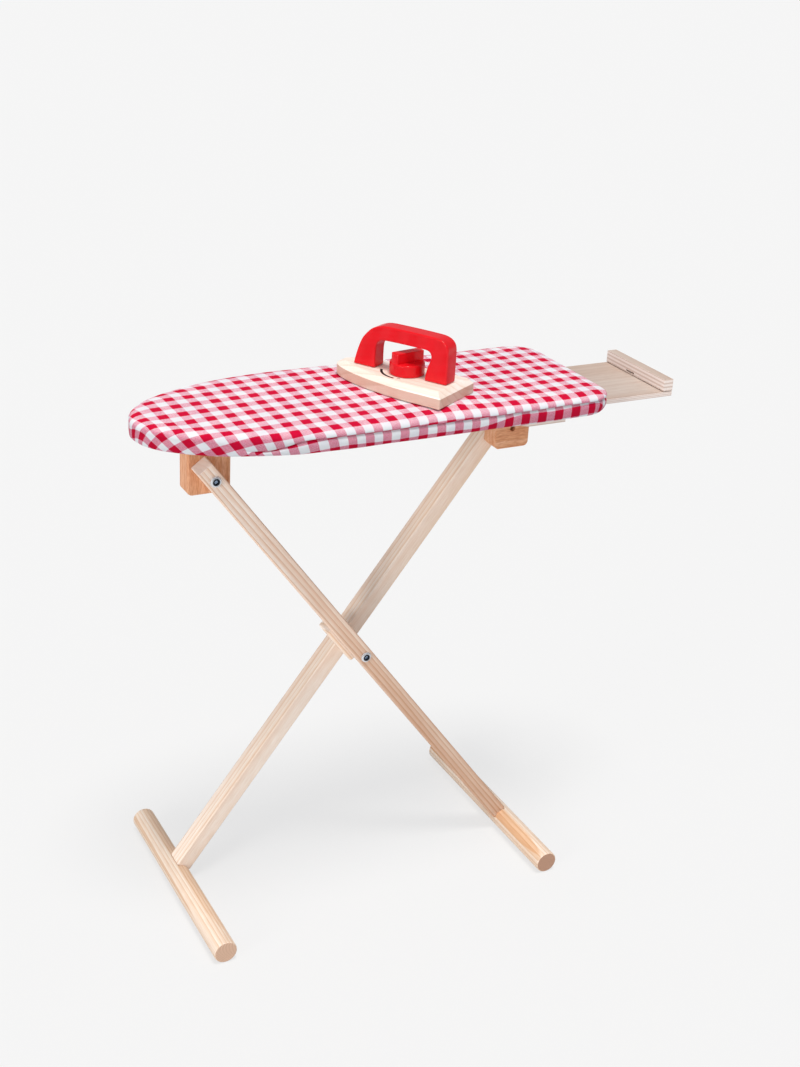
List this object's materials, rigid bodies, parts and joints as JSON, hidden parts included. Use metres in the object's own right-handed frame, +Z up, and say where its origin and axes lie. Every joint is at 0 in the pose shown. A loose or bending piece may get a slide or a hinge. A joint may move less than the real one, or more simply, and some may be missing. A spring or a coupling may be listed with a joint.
{
  "type": "toy ironing board",
  "caption": "Wooden toy ironing board on a crossed folding leg frame, with a padded gingham cover, an iron rest and a toy iron.",
  "frame": {"origin": "on the floor, under the middle of the whole object's box", "axes": "+X along the board from the rounded nose to the iron rest, +Z up, -Y is the side with leg_a"},
  "size_m": [0.5914, 0.263, 0.6309],
  "materials": {
    "pine": "matt",
    "pale_pine": "matt",
    "beech": "matt",
    "birch_ply": "matt",
    "maple": "matt",
    "red_paint": "gloss paint",
    "gingham": "woven red and white check",
    "foam": "soft",
    "steel": "bright"
  },
  "bodies": {
    "board": {"board_panel": "birch_ply", "board_pad": "foam", "board_cover": "gingham", "nose_block": "beech", "tail_block": "beech", "tail_bearer": "birch_ply", "tray_plate": "birch_ply", "tray_lip": "birch_ply", "nose_insert": "steel", "tail_insert": "steel", "nose_bolt": "steel", "nose_block_screw_1": "steel", "nose_block_screw_2": "steel", "tail_block_screw_1": "steel", "tail_block_screw_2": "steel", "lip_screw_1": "steel", "lip_screw_2": "steel", "tray_screw_1": "steel", "tray_screw_2": "steel", "tray_screw_3": "steel", "tray_screw_4": "steel"},
    "leg_a": {"leg_a": "pine", "foot_a": "pale_pine", "foot_a_screw": "steel", "centre_spacer": "pine", "centre_bolt": "steel", "centre_washer": "steel", "centre_nut": "steel"},
    "leg_b": {"leg_b": "pine", "foot_b": "pale_pine", "foot_b_screw": "steel", "tail_bolt": "steel"},
    "iron": {"iron_base": "maple", "iron_handle": "red_paint", "handle_dowel_nose": "maple", "handle_dowel_heel": "maple", "dial_pin": "maple"},
    "dial": {"iron_dial": "red_paint"}
  },
  "joints": [
    {"name": "leg_fold", "type": "hinge", "parent": "board", "child": "leg_a", "pos_m": [-0.2199, 0, 0.50077], "axis": [0, -1, 0], "range_deg": [0, 47]},
    {"name": "leg_scissor", "type": "hinge", "parent": "leg_a", "child": "leg_b", "pos_m": [-0.0469, 0, 0.27227], "axis": [0, -1, 0], "range_deg": [-94, 0]},
    {"name": "iron_lift", "type": "slide", "parent": "board", "child": "iron", "axis": [0, 0, 1], "range_m": [0, 0.15]},
    {"name": "dial_turn", "type": "hinge", "parent": "iron", "child": "dial", "pos_m": [-0.00989, -0.0214, 0.59], "axis": [0, 0, 1], "continuous": true}
  ],
  "couplings": [
    {"joint": "leg_scissor", "follows": "leg_fold", "ratio": -2}
  ]
}
